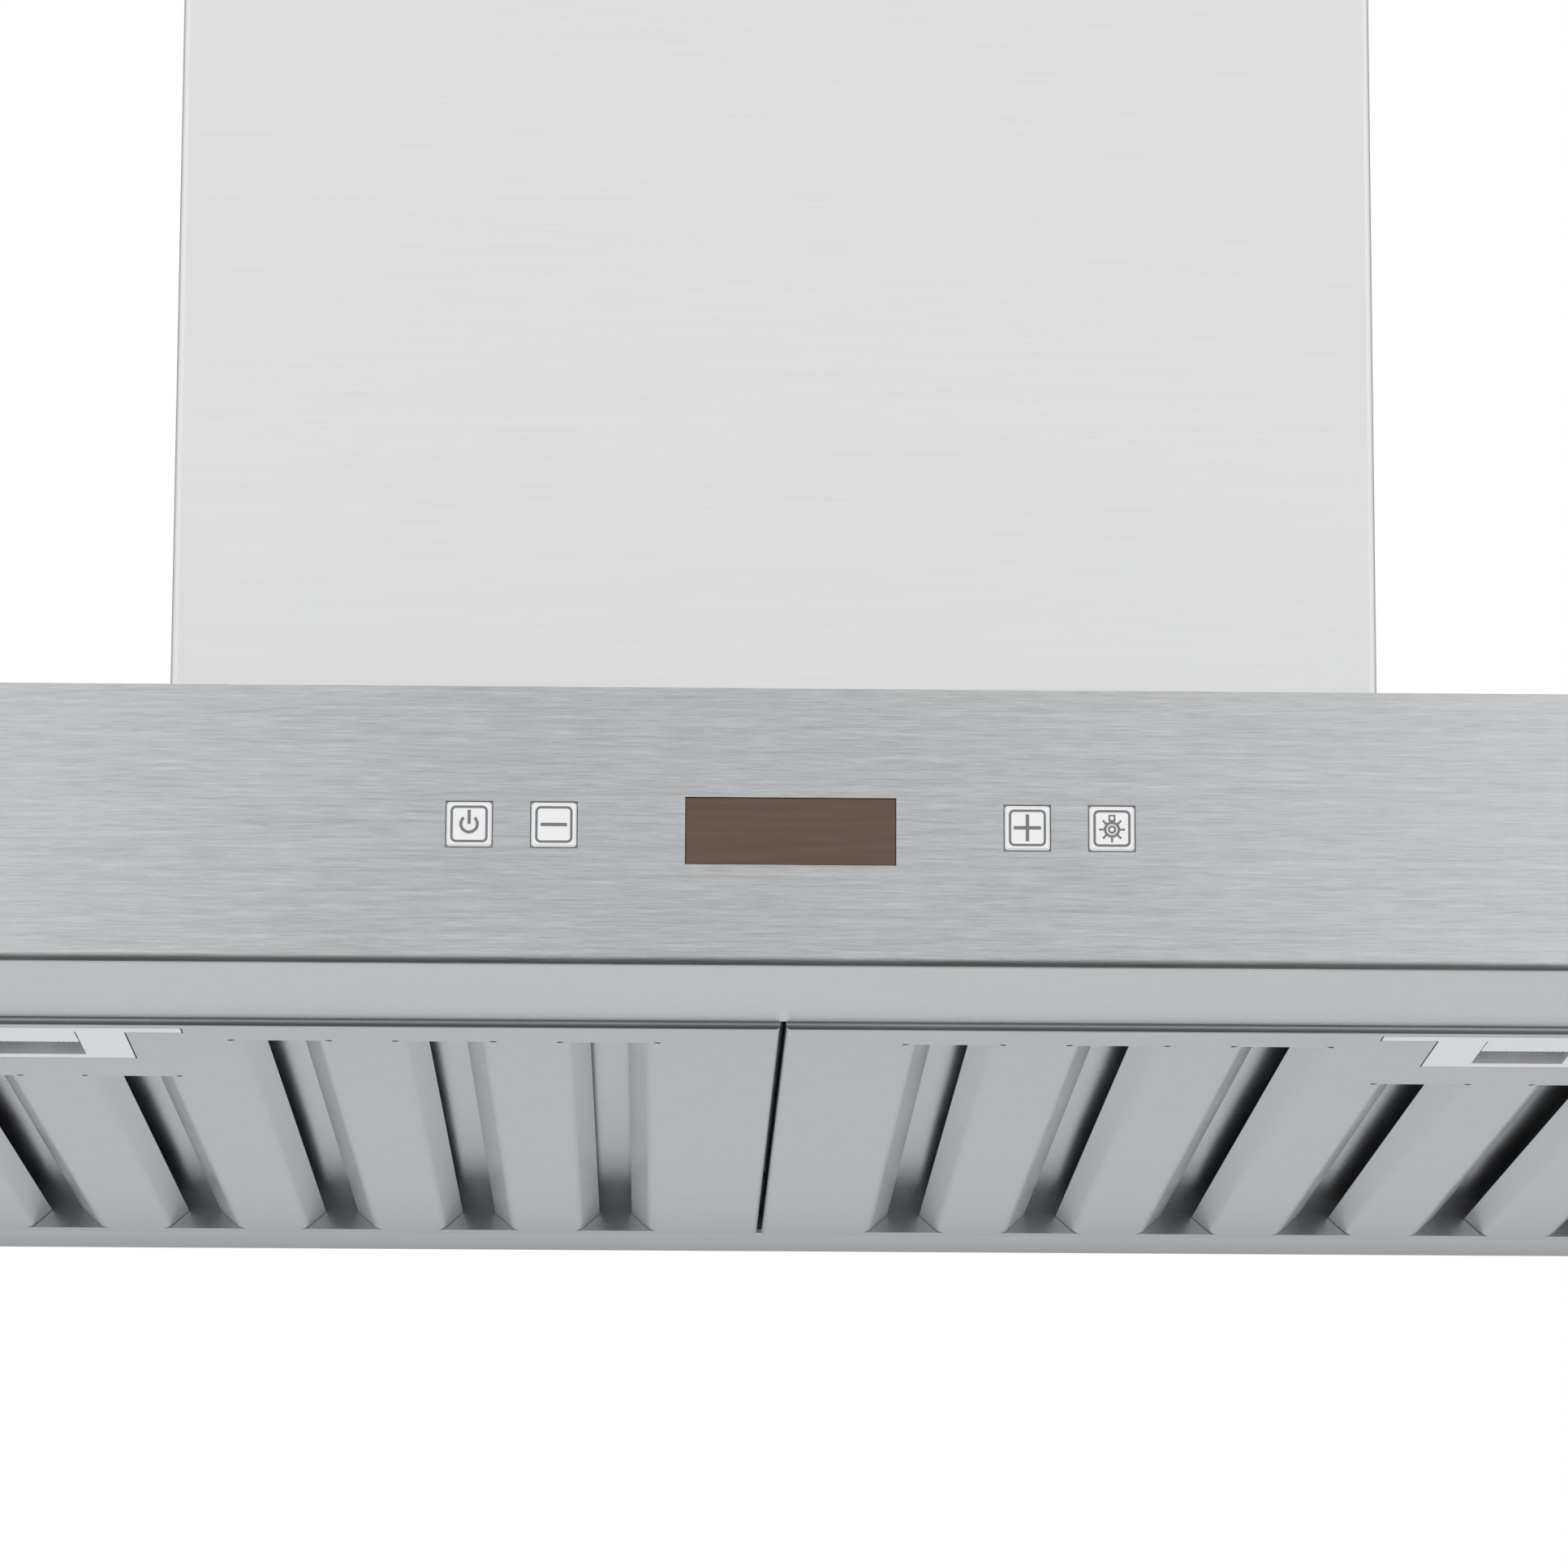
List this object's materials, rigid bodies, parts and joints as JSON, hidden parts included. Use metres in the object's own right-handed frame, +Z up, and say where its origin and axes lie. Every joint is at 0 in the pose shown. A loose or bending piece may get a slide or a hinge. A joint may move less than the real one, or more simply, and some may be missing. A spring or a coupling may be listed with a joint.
{
  "type": "wall-mounted range hood",
  "caption": "Thin wide kitchen range hood with slotted baffle filters, push-button strip, blower with dampered round outlet, and a telescopic duct cover against the wall.",
  "frame": {"origin": "middle of the canopy's back on the wall plane, level with its underside", "axes": "+X to the right seen from the front, +Y into the wall, +Z up"},
  "size_m": [0.762, 0.5004, 0.5244],
  "materials": {
    "brushed_stainless": "brushed, fine horizontal grain",
    "galvanised": "galvanised sheet",
    "filter_steel": "satin",
    "latch_steel": "satin",
    "spring_steel": "bright",
    "button_silver": "satin silver",
    "black_plastic": "matte",
    "circuit_board": "solder mask",
    "display_amber": "tinted, glossy",
    "lamp_trim": "satin",
    "lamp_glass": "frosted",
    "white_plastic": "matte",
    "motor_black": "satin",
    "gland_rubber": "matte",
    "cover_stainless": "fine horizontal grain, bright"
  },
  "bodies": {
    "root": {"blower_box": "galvanised", "blower_screws": "spring_steel", "board_standoffs": "black_plastic", "button_guide": "black_plastic", "button_springs": "spring_steel", "button_switches": "black_plastic", "cable_gland": "gland_rubber", "canopy_back": "galvanised", "canopy_shell": "brushed_stainless", "capacitor": "white_plastic", "centre_rail": "galvanised", "control_board": "circuit_board", "damper_pins": "spring_steel", "display_bezel": "black_plastic", "display_board": "circuit_board", "display_lens": "display_amber", "duct_cover_tabs": "galvanised", "electronics_box": "black_plastic", "electronics_cover": "black_plastic", "filter_hanger_rail": "galvanised", "front_divider": "brushed_stainless", "inlet_rings": "galvanised", "lamp_driver": "white_plastic", "lamp_left_housing": "lamp_trim", "lamp_left_lens": "lamp_glass", "lamp_right_housing": "lamp_trim", "lamp_right_lens": "lamp_glass", "lower_duct_cover": "cover_stainless", "motor_body": "motor_black", "motor_bracket": "galvanised", "outlet_collar": "galvanised", "outlet_transition": "galvanised", "power_board": "circuit_board", "scroll_housing": "galvanised"},
    "upper_cover": {"upper_duct_cover": "cover_stainless", "upper_cover_bracket": "galvanised"},
    "button_power": {"button_power": "button_silver"},
    "button_minus": {"button_minus": "button_silver"},
    "button_plus": {"button_plus": "button_silver"},
    "button_light": {"button_light": "button_silver"},
    "impeller": {"impeller": "black_plastic", "motor_shaft": "spring_steel"},
    "damper_front": {"damper_flap_front": "galvanised"},
    "damper_rear": {"damper_flap_rear": "galvanised"},
    "filter_left": {"filter_left_frame": "filter_steel", "filter_left_lower_plate": "filter_steel", "filter_left_upper_plate": "filter_steel", "filter_left_latch_plate": "latch_steel", "filter_left_latch_spring": "spring_steel"},
    "latch_left": {"filter_left_latch_slide": "latch_steel"},
    "filter_right": {"filter_right_frame": "filter_steel", "filter_right_lower_plate": "filter_steel", "filter_right_upper_plate": "filter_steel", "filter_right_latch_plate": "latch_steel", "filter_right_latch_spring": "spring_steel"},
    "latch_right": {"filter_right_latch_slide": "latch_steel"}
  },
  "joints": [
    {"name": "filter_left_hinge", "type": "hinge", "parent": "root", "child": "filter_left", "pos_m": [-0.1741, -0.0471, 0.006], "axis": [1, 0, 0], "range_deg": [0, 35]},
    {"name": "latch_left_slide", "type": "slide", "parent": "filter_left", "child": "latch_left", "axis": [0, 1, 0], "range_m": [0, 0.008], "stiffness_N_per_m": 300, "springref_m": -0.004, "deforming": ["filter_left_latch_spring"]},
    {"name": "filter_right_hinge", "type": "hinge", "parent": "root", "child": "filter_right", "pos_m": [0.1741, -0.0471, 0.006], "axis": [1, 0, 0], "range_deg": [0, 35]},
    {"name": "latch_right_slide", "type": "slide", "parent": "filter_right", "child": "latch_right", "axis": [0, 1, 0], "range_m": [0, 0.008], "stiffness_N_per_m": 300, "springref_m": -0.004, "deforming": ["filter_right_latch_spring"]},
    {"name": "button_power_press", "type": "slide", "parent": "root", "child": "button_power", "axis": [0, 1, 0], "range_m": [0, 0.0012], "stiffness_N_per_m": 600, "springref_m": -0.001, "deforming": ["button_springs"]},
    {"name": "button_minus_press", "type": "slide", "parent": "root", "child": "button_minus", "axis": [0, 1, 0], "range_m": [0, 0.0012], "stiffness_N_per_m": 600, "springref_m": -0.001},
    {"name": "button_plus_press", "type": "slide", "parent": "root", "child": "button_plus", "axis": [0, 1, 0], "range_m": [0, 0.0012], "stiffness_N_per_m": 600, "springref_m": -0.001},
    {"name": "button_light_press", "type": "slide", "parent": "root", "child": "button_light", "axis": [0, 1, 0], "range_m": [0, 0.0012], "stiffness_N_per_m": 600, "springref_m": -0.001},
    {"name": "impeller_spin", "type": "hinge", "parent": "root", "child": "impeller", "pos_m": [0, -0.13, 0.17696], "axis": [1, 0, 0], "continuous": true},
    {"name": "damper_front_hinge", "type": "hinge", "parent": "root", "child": "damper_front", "pos_m": [0, -0.105, 0.3242], "axis": [-1, 0, 0], "range_deg": [0, 75]},
    {"name": "damper_rear_hinge", "type": "hinge", "parent": "root", "child": "damper_rear", "pos_m": [0, -0.098, 0.3242], "axis": [1, 0, 0], "range_deg": [0, 75]},
    {"name": "upper_cover_slide", "type": "slide", "parent": "root", "child": "upper_cover", "axis": [0, 0, 1], "range_m": [0, 0.36]}
  ]
}
